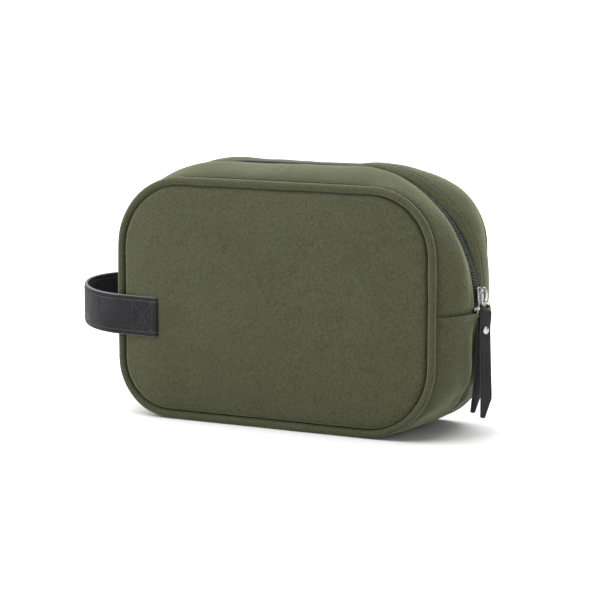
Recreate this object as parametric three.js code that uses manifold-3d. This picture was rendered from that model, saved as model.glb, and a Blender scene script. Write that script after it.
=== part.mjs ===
// A soft zipped wash bag with a leather side handle, in millimetres.
// +Z is up, the front panel faces -Y, and the origin is the centre of the flat base.
// The bag is two padded panels, edged with piping, joined by a gusset that runs right round.
// The gusset's upper half is split by a zip, so the front of the upper half folds open.
import * as THREE from "three";
import { mergeVertices } from "three/addons/utils/BufferGeometryUtils.js";
import Module from "manifold-3d";

const wasm = await Module();
wasm.setup();

// ---- Driving dimensions -------------------------------------------------

// The piping's centre line is a rounded rectangle in the XZ plane at y = -PIPE_Y and +PIPE_Y.
const PIPE_RADIUS = 3;
const PIPE_Y = 40.5;
const PIPE_HALF_WIDTH = 116;
const PIPE_TOP = 162;
const PIPE_BOTTOM = PIPE_RADIUS;
const CORNER_TOP = 44;
const CORNER_BOTTOM = 40;

// The gusset's outer skin: where it meets the piping, and along its middle, where it bulges.
const EDGE_STEP = 2.4; // the skin stands this far outside the piping's centre line
const EDGE_V = 37.2; // the skin's edge, measured from the bag's middle plane
const MID_HALF_WIDTH = 130;
const MID_TOP = 173.5;
const BULGE_POWER = 3; // how squarely the skin bulges between its edges
const PUFF_TOP = 0.8; // the upper gusset swells this much more on either side of the zip,
const PUFF_CORNER = 6; // and this much where it turns the corner
const ZIP_RADIUS = 90; // the zip rounds the top corners on this radius
const MID_CORNER_BOTTOM = 54;

// The base gusset meets the upper gussets, and the front panel folds, at this height.
const SEAM_Z = 82.5;
const HALF_GAP = 0.15; // each of two pieces that meet stands back by this much

const PANEL_Y = 43.1; // the panel's outer face at its edge
const CROWN = 5; // how far the padded panel stands proud at its centre
const PANEL_INSET = 3.2; // the cloth's edge, inside the piping's centre line
const LAYER_INSET = 4.2; // the foam's and lining's edge

// Layers, as [outer face, inner face] below the skin.
const CLOTH = [0, 1.3];
const FOAM = [1.6, 4.1];
const LINING = [4.4, 5.0];
const UPPER_LINING = [2.8, 3.4];
const ZIP_TAPE = [1.7, 2.3];
const ZIP_COIL = [0.1, 1.4];

// Across the gusset, as distances from the bag's middle plane.
const LAYER_V = 36.5;
const COIL_V = [0.6, 2.9];
const TAPE_V = [0.6, 14];
const CLOTH_V = [3.5, EDGE_V];
const UPPER_LINING_V = [6, LAYER_V];
const STOP_LENGTH = 2.4;

// The binding tape that covers the seam allowance inside each edge.
const BINDING_INSET = [6, 13];
const BINDING_Y = [35.2, 36.9];

// The handle: a two-layer leather strap sewn to both panels and bowed out round the left end.
const STRAP_BOTTOM = 57;
const STRAP_HEIGHT = 25;
const STRAP_LAYER = 1.35;
const STRAP_END_X = -85;
const STRAP_LEAVES_X = -113; // where the strap leaves the panel
const STRAP_END_Y = 47.4;
const STRAP_LEAVES_Y = 45.7;
const STRAP_REACH = 50; // how far the bow goes past that
const STRAP_LIFT = 4; // the strap's rear end is sewn this much higher than its front end,
const STRAP_ARCH = 2.2; // and the bow arches up by this much between them

// The zip slider, in its own frame: x out of the bag, y across the zip, z along the zip.
const SLIDER_ANGLE = 6; // its place on the zip's corner, in degrees up from the side
const SLIDER_LENGTH = 11;
const SLIDER_WIDTH = 8.4;
const TOP_PLATE = [1.5, 2.5]; // heights above the skin
const BOTTOM_PLATE = [-3.8, -2.8];
const POST_WIDTH = 0.6;
const BRIDGE_WIDTH = 2;
const EYE = { x: 5.3, z: 3.1 }; // the hole in the bridge that carries the link

// The pull: a wire link, a wire ring and a folded leather strap closed by a rivet.
const LINK = { radius: 0.55, top: 3.3, bottom: 3.6, length: 9.6, corner: 1.6 };
const RING = { radius: 0.5, top: 4.6, bottom: 6.1, length: 7.2, corner: 0.9 };
const RING_YAW = -24; // the ring passes through the link askew, in degrees
const PULL_YAW = -20;
const PULL_WIDTH = 9.6;
const PULL_THICK = 1.5;
const FOLD_RADIUS = 1;
const PULL_LENGTH = 71;
const RIVET_DROP = 10.5; // the rivet's centre, below the ring's lower bar
const RIVET = { cap: 2.9, back: 2.5, post: 0.8, clear: 0.15 };

// Mesh fineness.
const UPPER_STEPS = 28;
const LOWER_STEPS = 23;
const PANEL_SIDES = 40;
const PIPE_STEPS = 48;
const PIPE_SIDES = 8;
const WIRE_SIDES = 6;

// ---- Materials ----------------------------------------------------------

const material = (color, roughness, metalness = 0) =>
  new THREE.MeshStandardMaterial({ color, roughness, metalness });

const suede = material(0x5d614a, 0.95);
const foam = material(0xb9b7ae, 0.95);
const liningCloth = material(0x2b2b2d, 0.7);
const bindingTape = material(0x1f2021, 0.85);
const zipCloth = material(0x20291f, 0.85);
const zipCoil = material(0x26332a, 0.45);
const leather = material(0x2e2d31, 0.5);
const metal = material(0xc4c2c1, 0.25, 1);

const root = new THREE.Group();

function addMesh(name, geometry, finish, parent = root) {
  const mesh = new THREE.Mesh(geometry, finish);
  mesh.name = name;
  parent.add(mesh);
  return mesh;
}

// ---- Solids from rings and booleans -------------------------------------

// A closed solid through rings with the same number of points, either capped or joined end to end.
// In a cap, point i pairs with point count - 1 - i, so a ring is an outer row and then an inner row.
// The inner row's quads are cut along the same diagonals as the outer row's, so layers nest.
function loft(rings, joined = false) {
  const count = rings[0].length;
  const index = [];
  const quad = (a, b, c, d, inner) => {
    if (inner) index.push(a, b, d, b, c, d);
    else index.push(a, b, c, a, c, d);
  };
  const spans = joined ? rings.length : rings.length - 1;
  for (let r = 0; r < spans; r++) {
    const here = r * count;
    const next = ((r + 1) % rings.length) * count;
    for (let i = 0; i < count; i++) {
      const j = (i + 1) % count;
      quad(here + i, here + j, next + j, next + i, i >= count / 2);
    }
  }
  if (!joined) {
    const last = (rings.length - 1) * count;
    for (let i = 0; i < count / 2 - 1; i++) {
      const across = count - 1 - i;
      quad(i, across, across - 1, i + 1);
      quad(last + i, last + i + 1, last + across - 1, last + across);
    }
  }
  const points = rings.flat();
  const geometry = new THREE.BufferGeometry().setFromPoints(points);
  const volume = signedVolume(points, index);
  geometry.setIndex(volume < 0 ? index.reverse() : index);
  return geometry;
}

function signedVolume(points, index) {
  let total = 0;
  for (let i = 0; i < index.length; i += 3) {
    const [a, b, c] = [index[i], index[i + 1], index[i + 2]].map((k) => points[k]);
    total += a.dot(new THREE.Vector3().crossVectors(b, c));
  }
  return total / 6;
}

function toSolid(geometry) {
  const bare = geometry.clone();
  bare.deleteAttribute("normal");
  bare.deleteAttribute("uv");
  const merged = mergeVertices(bare, 1e-4);
  return new wasm.Manifold(
    new wasm.Mesh({
      numProp: 3,
      vertProperties: merged.attributes.position.array,
      triVerts: new Uint32Array(merged.index.array),
    }),
  );
}

function fromSolid(solid) {
  const mesh = solid.getMesh();
  return new THREE.BufferGeometry()
    .setAttribute("position", new THREE.BufferAttribute(mesh.vertProperties, 3))
    .setIndex(new THREE.BufferAttribute(mesh.triVerts, 1));
}

function box(x0, x1, y0, y1, z0, z1) {
  return new THREE.BoxGeometry(x1 - x0, y1 - y0, z1 - z0).translate(
    (x0 + x1) / 2,
    (y0 + y1) / 2,
    (z0 + z1) / 2,
  );
}

// Cuts a geometry at the fold line, and returns what is below it and what is above it.
function splitAtSeam(geometry) {
  const far = 400;
  const solid = toSolid(geometry);
  const below = toSolid(box(-far, far, -far, far, -far, SEAM_Z - HALF_GAP));
  const above = toSolid(box(-far, far, -far, far, SEAM_Z + HALF_GAP, far));
  return [fromSolid(solid.intersect(below)), fromSolid(solid.intersect(above))];
}

// ---- Outlines -----------------------------------------------------------

// The right half of an outline, from the seam up to the top centre.
function upperHalf(halfWidth, top, corner) {
  return new THREE.Path()
    .moveTo(halfWidth, SEAM_Z + HALF_GAP)
    .lineTo(halfWidth, top - corner)
    .absarc(halfWidth - corner, top - corner, corner, 0, Math.PI / 2)
    .lineTo(0, top);
}

// The right half of an outline, from the seam down to the bottom centre.
function lowerHalf(halfWidth, bottom, corner) {
  return new THREE.Path()
    .moveTo(halfWidth, SEAM_Z - HALF_GAP)
    .lineTo(halfWidth, bottom + corner)
    .absarc(halfWidth - corner, bottom + corner, corner, 0, -Math.PI / 2, true)
    .lineTo(0, bottom);
}

const edgeHalfWidth = PIPE_HALF_WIDTH + EDGE_STEP;
const upperGusset = {
  edge: upperHalf(edgeHalfWidth, PIPE_TOP + EDGE_STEP, CORNER_TOP + EDGE_STEP),
  mid: upperHalf(MID_HALF_WIDTH, MID_TOP, ZIP_RADIUS),
  turn: 1,
};
const lowerGusset = {
  edge: lowerHalf(edgeHalfWidth, 0, CORNER_BOTTOM + EDGE_STEP),
  mid: lowerHalf(MID_HALF_WIDTH, 0, MID_CORNER_BOTTOM),
  turn: -1,
};

// A point and its outward normal on one of a gusset's two outlines.
// share runs from 0 at the right seam to 1 at the left seam.
function onOutline(path, share, turn) {
  const left = share > 0.5;
  const along = left ? 2 * (1 - share) : 2 * share;
  const point = path.getPointAt(along);
  const tangent = path.getTangentAt(along);
  const normal = new THREE.Vector2(turn * tangent.y, -turn * tangent.x);
  if (left) {
    point.x *= -1;
    normal.x *= -1;
  }
  return { point, normal };
}

// A point of the gusset, v to the rear of the bag's middle plane and depth below the outer skin.
function gussetPoint(gusset, share, v, depth) {
  const edge = onOutline(gusset.edge, share, gusset.turn);
  const mid = onOutline(gusset.mid, share, gusset.turn);
  const away = Math.abs(v) / EDGE_V;
  const bulge = 1 - away ** BULGE_POWER;
  const point = edge.point.lerp(mid.point, bulge);
  const normal = edge.normal.lerp(mid.normal, bulge).normalize();
  const swell = PUFF_TOP * normal.y ** 2 + PUFF_CORNER * Math.abs(2 * normal.x * normal.y);
  const puff = gusset === upperGusset ? swell * Math.sin(Math.PI * away) ** 2 : 0;
  point.addScaledVector(normal, puff - depth);
  return new THREE.Vector3(point.x, v, point.y);
}

const shares = (from, to, steps) =>
  Array.from({ length: steps + 1 }, (_, i) => from + ((to - from) * i) / steps);

// A layer of the gusset between two shares of its length, two distances across and two depths.
function gussetLayer(gusset, steps, [v0, v1], columns, [outer, inner], ends = [0, 1]) {
  const across = shares(v0, v1, columns);
  const rings = shares(...ends, steps).map((share) => [
    ...across.map((v) => gussetPoint(gusset, share, v, outer)),
    ...across.toReversed().map((v) => gussetPoint(gusset, share, v, inner)),
  ]);
  return loft(rings);
}

// The piping's centre line as a closed ring of points, moved inwards by inset.
function pipeOutline(inset, sides) {
  const upper = upperHalf(PIPE_HALF_WIDTH, PIPE_TOP, CORNER_TOP);
  const lower = lowerHalf(PIPE_HALF_WIDTH, PIPE_BOTTOM, CORNER_BOTTOM);
  const half = sides / 2;
  const middle = (i) => (i + 0.5) / half;
  const at = (path, turn, share) => {
    const { point, normal } = onOutline(path, share, turn);
    return { point: point.addScaledVector(normal, -inset), normal };
  };
  const over = Array.from({ length: half }, (_, i) => at(upper, 1, middle(i)));
  const under = Array.from({ length: half }, (_, i) => at(lower, -1, 1 - middle(i)));
  return [...over, ...under];
}

// ---- Panels, piping and binding, on either side (-1 front, +1 rear) ------

// A crowned layer of a panel: rings shrink from the inner face's centre out to the edge and back.
function panelLayer(side, inset, [outer, inner], scales) {
  const centre = new THREE.Vector2(0, (PIPE_TOP + PIPE_BOTTOM) / 2);
  const outline = pipeOutline(inset, PANEL_SIDES);
  const ring = (scale, depth) =>
    outline.map(({ point }) => {
      const p = centre.clone().lerp(point, scale);
      const out = PANEL_Y - depth + CROWN * (1 - scale ** 2);
      return new THREE.Vector3(p.x, side * out, p.y);
    });
  return loft([
    ...scales.map((scale) => ring(scale, inner)),
    ...scales.toReversed().map((scale) => ring(scale, outer)),
  ]);
}

function piping(side) {
  const rings = pipeOutline(0, PIPE_STEPS).map(({ point, normal }) =>
    Array.from({ length: PIPE_SIDES }, (_, i) => {
      const angle = (2 * Math.PI * (i + 0.5)) / PIPE_SIDES;
      const p = point.clone().addScaledVector(normal, PIPE_RADIUS * Math.cos(angle));
      return new THREE.Vector3(p.x, side * PIPE_Y + PIPE_RADIUS * Math.sin(angle), p.y);
    }),
  );
  return loft(rings, true);
}

function binding(side) {
  const corners = [
    [0, 0],
    [1, 0],
    [1, 1],
    [0, 1],
  ];
  const rings = pipeOutline(0, PANEL_SIDES).map(({ point, normal }) =>
    corners.map(([i, j]) => {
      const p = point.clone().addScaledVector(normal, -BINDING_INSET[i]);
      return new THREE.Vector3(p.x, side * BINDING_Y[j], p.y);
    }),
  );
  return loft(rings, true);
}

const CLOTH_SCALES = [0.15, 0.5, 0.8, 1];
const LAYER_SCALES = [0.15, 0.6, 1];

const panelParts = [
  ["panel", (side) => panelLayer(side, PANEL_INSET, CLOTH, CLOTH_SCALES), suede],
  ["foam", (side) => panelLayer(side, LAYER_INSET, FOAM, LAYER_SCALES), foam],
  ["lining", (side) => panelLayer(side, LAYER_INSET, LINING, LAYER_SCALES), liningCloth],
  ["piping", piping, suede],
  ["binding", binding, bindingTape],
];

for (const [kind, build, finish] of panelParts) {
  addMesh(`rear_${kind}`, build(1), finish);
  const [lower, upper] = splitAtSeam(build(-1));
  addMesh(`front_${kind}_lower`, lower, finish);
  addMesh(`front_${kind}_upper`, upper, finish);
}

// ---- Gussets and zip ----------------------------------------------------

const fullWidth = (v) => [-v, v];
const baseLayer = (name, v, depths, finish) =>
  addMesh(name, gussetLayer(lowerGusset, LOWER_STEPS, fullWidth(v), 6, depths), finish);
baseLayer("base_gusset", EDGE_V, CLOTH, suede);
baseLayer("base_foam", LAYER_V, FOAM, foam);
baseLayer("base_lining", LAYER_V, LINING, liningCloth);

const zipLength = 2 * upperGusset.mid.getLength();
const stopShare = STOP_LENGTH / zipLength;
const coilEnds = [1.2 * stopShare, 1 - 1.2 * stopShare];
const STOP = [0, 1.4]; // the stops' outer and inner faces below the skin

for (const [place, side] of [
  ["front", -1],
  ["rear", 1],
]) {
  const sided = (span) => span.map((v) => side * v);
  const layer = (name, span, columns, depths, finish, ends, steps = UPPER_STEPS) =>
    addMesh(name, gussetLayer(upperGusset, steps, sided(span), columns, depths, ends), finish);
  layer(`${place}_gusset`, CLOTH_V, 6, CLOTH, suede);
  layer(`${place}_gusset_lining`, UPPER_LINING_V, 4, UPPER_LINING, liningCloth);
  layer(`zip_tape_${place}`, TAPE_V, 5, ZIP_TAPE, zipCloth);
  layer(`zip_coil_${place}`, COIL_V, 1, ZIP_COIL, zipCoil, coilEnds);
  layer(`zip_top_stop_${place}`, COIL_V, 1, STOP, metal, [0, stopShare], 1);
}
addMesh(
  "zip_bottom_stop",
  gussetLayer(upperGusset, 1, fullWidth(COIL_V[1]), 1, STOP, [1 - stopShare, 1]),
  metal,
);

// ---- Handle -------------------------------------------------------------

// The strap's centre line seen from above: flat on the front panel, bowed round, flat on the rear.
function strapLine() {
  const points = [];
  const flatSteps = 3;
  const bowSteps = 22;
  for (let i = 0; i < flatSteps; i++) {
    const t = i / flatSteps;
    const x = THREE.MathUtils.lerp(STRAP_END_X, STRAP_LEAVES_X, t);
    const y = THREE.MathUtils.lerp(STRAP_END_Y, STRAP_LEAVES_Y, t);
    points.push(new THREE.Vector3(x, -y, 0));
  }
  const rear = points.toReversed().map((p) => new THREE.Vector3(p.x, -p.y, STRAP_LIFT));
  for (let i = 0; i <= bowSteps; i++) {
    const turn = (Math.PI * i) / bowSteps;
    const x = STRAP_LEAVES_X - STRAP_REACH * Math.sin(turn);
    const rise = (STRAP_LIFT * (1 - Math.cos(turn))) / 2 + STRAP_ARCH * Math.sin(turn) ** 2;
    points.push(new THREE.Vector3(x, -STRAP_LEAVES_Y * Math.cos(turn), rise));
  }
  return [...points, ...rear];
}

// One layer of the strap between two offsets outwards from its centre line.
function strapLayer(inner, outer) {
  const line = strapLine();
  const rings = line.map((p, i) => {
    const before = line[Math.max(0, i - 1)];
    const after = line[Math.min(line.length - 1, i + 1)];
    const along = after.clone().sub(before).setZ(0).normalize();
    const out = new THREE.Vector3(along.y, -along.x, 0).negate();
    const corner = (offset, height) =>
      p
        .clone()
        .addScaledVector(out, offset)
        .setZ(STRAP_BOTTOM + p.z + height);
    return [
      corner(outer, 0),
      corner(outer, STRAP_HEIGHT),
      corner(inner, STRAP_HEIGHT),
      corner(inner, 0),
    ];
  });
  return loft(rings);
}

addMesh("handle_outer", strapLayer(HALF_GAP, HALF_GAP + STRAP_LAYER), leather);
addMesh("handle_inner", strapLayer(-HALF_GAP - STRAP_LAYER, -HALF_GAP), leather);

// ---- Slider -------------------------------------------------------------

const zipCentre = new THREE.Vector3(MID_HALF_WIDTH - ZIP_RADIUS, 0, MID_TOP - ZIP_RADIUS);
const sliderAngle = THREE.MathUtils.degToRad(SLIDER_ANGLE);

// The slider's frame turns about the centre of the zip's corner; its origin is on the skin.
const sliderArm = new THREE.Group();
sliderArm.position.copy(zipCentre);
sliderArm.rotation.y = -sliderAngle;
root.add(sliderArm);
const slider = new THREE.Group();
slider.position.x = ZIP_RADIUS;
sliderArm.add(slider);

// A plate with a square tail at the top and rounded shoulders at the bottom.
function sliderPlate([low, high]) {
  const half = SLIDER_WIDTH / 2;
  const end = SLIDER_LENGTH / 2;
  const waist = 0.82 * half;
  const shape = new THREE.Shape()
    .moveTo(-waist, end)
    .lineTo(-half, 0)
    .quadraticCurveTo(-half, -end, -0.35 * half, -end)
    .lineTo(0.35 * half, -end)
    .quadraticCurveTo(half, -end, half, 0)
    .lineTo(waist, end)
    .closePath();
  const plate = new THREE.ExtrudeGeometry(shape, {
    depth: high - low,
    bevelEnabled: false,
    curveSegments: 5,
  });
  // The shape's x runs across the zip, its y along it, and the extrusion out of the bag.
  return plate
    .applyMatrix4(
      new THREE.Matrix4().makeBasis(
        new THREE.Vector3(0, 1, 0),
        new THREE.Vector3(0, 0, 1),
        new THREE.Vector3(1, 0, 0),
      ),
    )
    .translate(low, 0, 0);
}

function sliderBody() {
  const half = POST_WIDTH / 2;
  const post = box(BOTTOM_PLATE[0] + 0.5, TOP_PLATE[1] - 0.5, -half, half, -4.6, -1.4);
  return fromSolid(
    toSolid(sliderPlate(TOP_PLATE))
      .add(toSolid(sliderPlate(BOTTOM_PLATE)))
      .add(toSolid(post)),
  );
}

// The bridge is an arch over the top plate, seen from the side and extruded across the zip.
function sliderBridge() {
  const foot = TOP_PLATE[1] + 0.05;
  const shape = new THREE.Shape()
    .moveTo(foot, -4.4)
    .lineTo(foot + 2, -4.1)
    .quadraticCurveTo(EYE.x + 1.6, -3.2, EYE.x + 1.7, -1)
    .lineTo(EYE.x + 1.6, 3.4)
    .quadraticCurveTo(EYE.x + 1.4, 4.9, EYE.x, 5)
    .lineTo(foot, 4.9)
    .closePath();
  shape.holes.push(
    new THREE.Path()
      .moveTo(foot + 1, -2.6)
      .lineTo(foot + 1, 4.0)
      .lineTo(EYE.x + 0.5, 3.9)
      .lineTo(EYE.x + 0.8, 2.6)
      .lineTo(EYE.x + 0.8, -1.8)
      .closePath(),
  );
  const arch = new THREE.ExtrudeGeometry(shape, {
    depth: BRIDGE_WIDTH,
    bevelEnabled: false,
    curveSegments: 5,
  });
  // The shape's x runs out of the bag and its y along the zip; it is extruded across the zip.
  return arch
    .applyMatrix4(
      new THREE.Matrix4().makeBasis(
        new THREE.Vector3(1, 0, 0),
        new THREE.Vector3(0, 0, 1),
        new THREE.Vector3(0, -1, 0),
      ),
    )
    .translate(0, BRIDGE_WIDTH / 2, 0);
}

addMesh("slider_body", sliderBody(), metal, slider);
addMesh("slider_bridge", sliderBridge(), metal, slider);

// ---- Pull ---------------------------------------------------------------

// A closed wire loop in the YZ plane that hangs from the origin, with rounded corners.
function wireLoop({ radius, top, bottom, length, corner }) {
  const shape = new THREE.Path()
    .moveTo(0, 0)
    .lineTo(top - corner, 0)
    .quadraticCurveTo(top, 0, top, -corner)
    .lineTo(bottom, -length + corner)
    .quadraticCurveTo(bottom, -length, bottom - corner, -length)
    .lineTo(corner - bottom, -length)
    .quadraticCurveTo(-bottom, -length, -bottom, -length + corner)
    .lineTo(-top, -corner)
    .quadraticCurveTo(-top, 0, corner - top, 0)
    .lineTo(0, 0);
  const line = shape.getPoints(4).slice(0, -1);
  const rings = line.map((p, i) => {
    const before = line[(i + line.length - 1) % line.length];
    const after = line[(i + 1) % line.length];
    const along = after.clone().sub(before).normalize();
    const side = new THREE.Vector2(along.y, -along.x);
    return Array.from({ length: WIRE_SIDES }, (_, k) => {
      const angle = (2 * Math.PI * (k + 0.5)) / WIRE_SIDES;
      const q = p.clone().addScaledVector(side, radius * Math.cos(angle));
      return new THREE.Vector3(radius * Math.sin(angle), q.x, q.y);
    });
  });
  return loft(rings, true);
}

// The link hangs straight down from the eye, the ring from the link, the leather from the ring.
const eye = new THREE.Vector3(ZIP_RADIUS + EYE.x, 0, EYE.z)
  .applyAxisAngle(new THREE.Vector3(0, 1, 0), -sliderAngle)
  .add(zipCentre);
const link = addMesh("pull_link", wireLoop(LINK), metal);
link.position.copy(eye);

const ringRise = LINK.radius + RING.radius + 0.1;
const ring = addMesh("pull_ring", wireLoop(RING), metal);
ring.position.set(eye.x, 0, eye.z - LINK.length + ringRise);
ring.rotation.z = THREE.MathUtils.degToRad(RING_YAW);

// The pull's frame: origin on the ring's lower bar, x out of the bag, y across the strap.
const pull = new THREE.Group();
pull.position.set(eye.x, 0, ring.position.z - RING.length);
pull.rotation.z = THREE.MathUtils.degToRad(PULL_YAW);
root.add(pull);

const tipZ = FOLD_RADIUS + PULL_THICK - PULL_LENGTH;

// The strap seen from the side: over the bar, pinched at the rivet, with two tails that spread.
function pullSideLine(side) {
  const line = [
    [FOLD_RADIUS, -1],
    [FOLD_RADIUS * 0.8, -3.5],
    [0.35, -6.5],
    [HALF_GAP, -RIVET_DROP + 2],
    [HALF_GAP, -RIVET_DROP - 2],
    side > 0 ? [0.9, -34] : [0.6, -34],
    side > 0 ? [1.2, -56] : [3.2, -56],
    side > 0 ? [1.3, tipZ] : [5.4, tipZ],
  ];
  return line.map(([x, z]) => new THREE.Vector2(side * x, z));
}

function pullStrap() {
  const outerSide = pullSideLine(1);
  const innerSide = pullSideLine(-1);
  const thick = (p, side) => new THREE.Vector2(p.x + side * PULL_THICK, p.y);
  const over = (radius, clockwise) =>
    shares(0, 1, 8).map((t) => {
      const angle = Math.PI * (clockwise ? 1 - t : t);
      return new THREE.Vector2(radius * Math.cos(angle), radius * Math.sin(angle));
    });
  const outline = [
    ...outerSide.toReversed().map((p) => thick(p, 1)),
    ...over(FOLD_RADIUS + PULL_THICK, false),
    ...innerSide.map((p) => thick(p, -1)),
    ...innerSide.toReversed(),
    ...over(FOLD_RADIUS, true),
    ...outerSide,
  ];
  const strip = new THREE.ExtrudeGeometry(new THREE.Shape(outline), {
    depth: PULL_WIDTH,
    bevelEnabled: false,
  })
    .applyMatrix4(
      new THREE.Matrix4().makeBasis(
        new THREE.Vector3(1, 0, 0),
        new THREE.Vector3(0, 0, 1),
        new THREE.Vector3(0, -1, 0),
      ),
    )
    .translate(0, PULL_WIDTH / 2, 0);
  const hole = new THREE.CylinderGeometry(
    RIVET.post + RIVET.clear,
    RIVET.post + RIVET.clear,
    12,
    12,
  )
    .rotateZ(Math.PI / 2)
    .translate(0, 0, -RIVET_DROP);
  return fromSolid(toSolid(strip).subtract(toSolid(hole)).subtract(toSolid(tipCut())));
}

// The tails' slanting ends: a prism that leaves the strap's front edge long and its rear edge short.
function tipCut() {
  const shape = new THREE.Shape()
    .moveTo(-1.6, tipZ - 1)
    .lineTo(-1.6, tipZ)
    .lineTo(PULL_WIDTH / 2 + 1, tipZ + 13)
    .lineTo(PULL_WIDTH / 2 + 1, tipZ - 1)
    .closePath();
  return new THREE.ExtrudeGeometry(shape, { depth: 30, bevelEnabled: false })
    .applyMatrix4(
      new THREE.Matrix4().makeBasis(
        new THREE.Vector3(0, 1, 0),
        new THREE.Vector3(0, 0, 1),
        new THREE.Vector3(1, 0, 0),
      ),
    )
    .translate(-15, 0, 0);
}

// A turned piece about the rivet's axis, from [radius, height out of the bag] points.
function turned(profile) {
  const points = profile.map(([r, h]) => new THREE.Vector2(r, h));
  return new THREE.LatheGeometry(points, 16).rotateZ(-Math.PI / 2).translate(0, 0, -RIVET_DROP);
}

const face = HALF_GAP + PULL_THICK;
const capFoot = face + 0.1;
const rivetCap = turned([
  [0, -face - 0.7],
  [RIVET.post, -face - 0.7],
  [RIVET.post, capFoot],
  [RIVET.cap, capFoot],
  [RIVET.cap, capFoot + 0.35],
  [RIVET.cap * 0.72, capFoot + 0.85],
  [RIVET.cap * 0.35, capFoot + 1.1],
  [0, capFoot + 1.15],
]);
const bore = RIVET.post + RIVET.clear;
const rivetBack = turned([
  [bore, -face - 0.8],
  [RIVET.back - 0.3, -face - 0.8],
  [RIVET.back, -face - 0.5],
  [RIVET.back, -face - 0.1],
  [bore, -face - 0.1],
  [bore, -face - 0.8],
]);

addMesh("pull_strap", pullStrap(), leather, pull);
addMesh("rivet_cap", rivetCap, metal, pull);
addMesh("rivet_back", rivetBack, metal, pull);

export default root;
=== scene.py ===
"""A soft suede wash bag with piped edges, a zip, a leather handle and a leather pull.

Lengths in this file are in millimetres, in the CAD model's frame, and are turned into metres
when a mesh is made. The outlines repeat the CAD model's dimensions, apart from small differences
in the corners.
"""

import math

import bmesh
import bpy
import numpy as np
from mathutils import Matrix, Vector


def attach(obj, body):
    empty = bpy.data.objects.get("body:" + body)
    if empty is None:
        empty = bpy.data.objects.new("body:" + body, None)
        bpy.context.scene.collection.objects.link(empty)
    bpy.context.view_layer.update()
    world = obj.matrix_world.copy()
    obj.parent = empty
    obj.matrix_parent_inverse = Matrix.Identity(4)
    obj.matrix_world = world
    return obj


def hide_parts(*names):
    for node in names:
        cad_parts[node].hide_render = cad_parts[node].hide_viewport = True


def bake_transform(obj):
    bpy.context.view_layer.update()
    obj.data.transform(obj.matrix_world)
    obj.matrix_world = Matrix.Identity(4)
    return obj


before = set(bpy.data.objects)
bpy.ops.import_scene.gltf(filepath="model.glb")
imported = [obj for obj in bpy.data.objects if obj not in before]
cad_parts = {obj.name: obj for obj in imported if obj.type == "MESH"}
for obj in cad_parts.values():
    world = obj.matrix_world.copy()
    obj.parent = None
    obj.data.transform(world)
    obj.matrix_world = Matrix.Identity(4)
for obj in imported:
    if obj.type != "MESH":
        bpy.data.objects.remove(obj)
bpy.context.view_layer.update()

MM = 0.001

# ---- Dimensions ---------------------------------------------------------

SEAM_Z = 82.5
MIDDLE_Z = 82.5

PIPE_RADIUS = 3.0
PIPE_Y = 40.5
PIPE_HALF_WIDTH = 116
PIPE_TOP = 162
PIPE_BOTTOM = 3.0

# Corner radii of the piping: top right, top left, bottom left, bottom right, seen from the front.
FRONT_CORNERS = (42, 47, 36, 47)
REAR_CORNERS = (42, 44, 40, 42)

EDGE_STEP = 2.4
EDGE_V = 37.2
TUCK_V = 38.4
MID_HALF_WIDTH = 130
MID_TOP = 173.5
MID_CORNERS = (90, 90, 54, 60)
BULGE_POWER = 3
PUFF_TOP = 0.8
PUFF_CORNER = 6

PANEL_Y = 43.1
CROWN = 5.0
PANEL_INSET = 3.2
PADDED = 4.1
LINING_DEPTH = 4.4
LINING_THICK = 0.6
CLOTH_THICK = 1.3

ZIP_EDGE_V = {-1: 3.7, 1: 5.0}
TOPSTITCH_V = 9.8
EDGE_STITCH_V = 35.7

STRAP_BOTTOM = 57
STRAP_HEIGHT = 25
STRAP_THICK = 3.0
STRAP_END_X = -85
STRAP_LEAVES_X = -113
STRAP_END_Y = 47.4
STRAP_LEAVES_Y = 45.7
STRAP_REACH = 50
STRAP_LIFT = 4
STRAP_ARCH = 2.2

ZIP_CENTRE = (40, 83.5)
ZIP_RADIUS = 90
SLIDER_ANGLE = math.radians(6)
EYE = (5.3, 3.1)
LINK_LENGTH = 9.6
RING_RISE = 1.15
RING_LENGTH = 7.2
RING_YAW = math.radians(-24)
PULL_YAW = math.radians(-20)
PULL_WIDTH = 8.6
PULL_THICK = 1.5
FOLD_RADIUS = 1.0
PULL_LENGTH = 71
RIVET_DROP = 10.5

QUARTER = 150  # samples along each quarter of an outline

# ---- Camera, light and floor --------------------------------------------

AIM = Vector((-0.0005, 0, 0.0809))
CAMERA_DISTANCE = 1.6243
LENS = 144.8
SENSOR_WIDTH = 36
AZIMUTH = math.radians(27.98)
ELEVATION = math.radians(8.27)
back = Vector(
    (
        math.sin(AZIMUTH) * math.cos(ELEVATION),
        -math.cos(AZIMUTH) * math.cos(ELEVATION),
        math.sin(ELEVATION),
    )
)
camera_data = bpy.data.cameras.new("camera")
camera_data.lens = LENS
camera_data.sensor_width = SENSOR_WIDTH
camera_data.clip_end = 200
camera = bpy.data.objects.new("camera", camera_data)
bpy.context.scene.collection.objects.link(camera)
camera.location = AIM + back * CAMERA_DISTANCE
camera.rotation_euler = (-back).to_track_quat("-Z", "Y").to_euler()
bpy.context.scene.camera = camera
bpy.context.scene.view_settings.view_transform = "Standard"


def area_light(name, place, aim, size, power):
    data = bpy.data.lights.new(name, "AREA")
    data.shape = "RECTANGLE"
    data.size, data.size_y = size
    data.energy = power
    light = bpy.data.objects.new(name, data)
    bpy.context.scene.collection.objects.link(light)
    light.location = place
    direction = Vector(aim) - Vector(place)
    light.rotation_euler = direction.to_track_quat("-Z", "Y").to_euler()


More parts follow.
